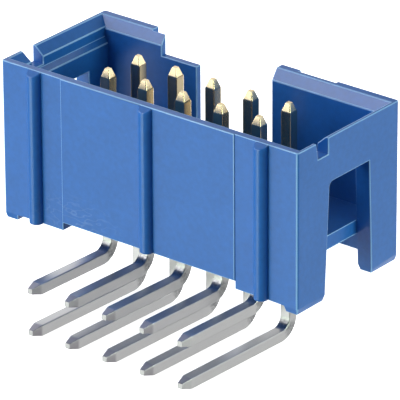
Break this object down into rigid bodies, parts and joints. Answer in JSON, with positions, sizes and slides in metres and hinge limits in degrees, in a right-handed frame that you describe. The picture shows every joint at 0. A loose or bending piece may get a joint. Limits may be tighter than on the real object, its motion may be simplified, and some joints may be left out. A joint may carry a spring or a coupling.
{
  "type": "pin header",
  "caption": "Right-angle box header: keyed, windowed moulded shroud with stand-off ribs around two rows of bent square pins that solder into a board.",
  "frame": {"origin": "middle of the solder tail pattern, on the plane of the board that the ribs stand on", "axes": "+X along the rows of contacts, +Y away from the board, +Z out of the mating cavity"},
  "size_m": [0.0198, 0.0124, 0.0139],
  "materials": {
    "housing": "satin blue moulded thermoplastic",
    "contact": "brass wire, gold-plated mating end and tin-plated solder tail"
  },
  "bodies": {
    "root": {"housing": "housing", "front_contact_1": "contact", "front_contact_2": "contact", "front_contact_3": "contact", "front_contact_4": "contact", "front_contact_5": "contact", "back_contact_1": "contact", "back_contact_2": "contact", "back_contact_3": "contact", "back_contact_4": "contact", "back_contact_5": "contact"}
  },
  "joints": []
}
